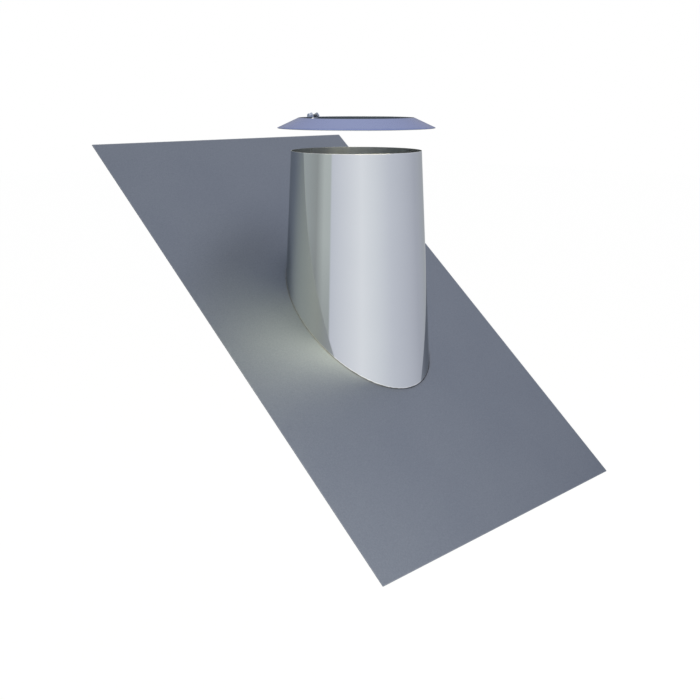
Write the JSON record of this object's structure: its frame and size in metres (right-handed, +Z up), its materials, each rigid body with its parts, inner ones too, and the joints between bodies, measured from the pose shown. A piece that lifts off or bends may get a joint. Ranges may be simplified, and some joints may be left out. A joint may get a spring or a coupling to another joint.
{
  "type": "pipe flashing",
  "caption": "Roof pipe flashing: flat base plate on the slope, plumb tapered steel cone round the flue opening, and a split storm collar with a clamp screw above the cone's rim.",
  "frame": {"origin": "where the flue's axis meets the roof, on the underside of the base plate", "axes": "+Z up along the flue's axis, +Y uphill in plan, +X across the slope"},
  "size_m": [0.6, 0.6899, 0.6322],
  "materials": {
    "plate_steel": "matt rolled sheet",
    "cone_steel": "bright rolled sheet",
    "collar_steel": "bright rolled sheet",
    "fastener_steel": "turned and plain"
  },
  "bodies": {
    "root": {"base_plate": "plate_steel", "cone": "cone_steel", "storm_collar": "collar_steel", "clamp_screw": "fastener_steel", "clamp_nut": "fastener_steel"}
  },
  "joints": []
}
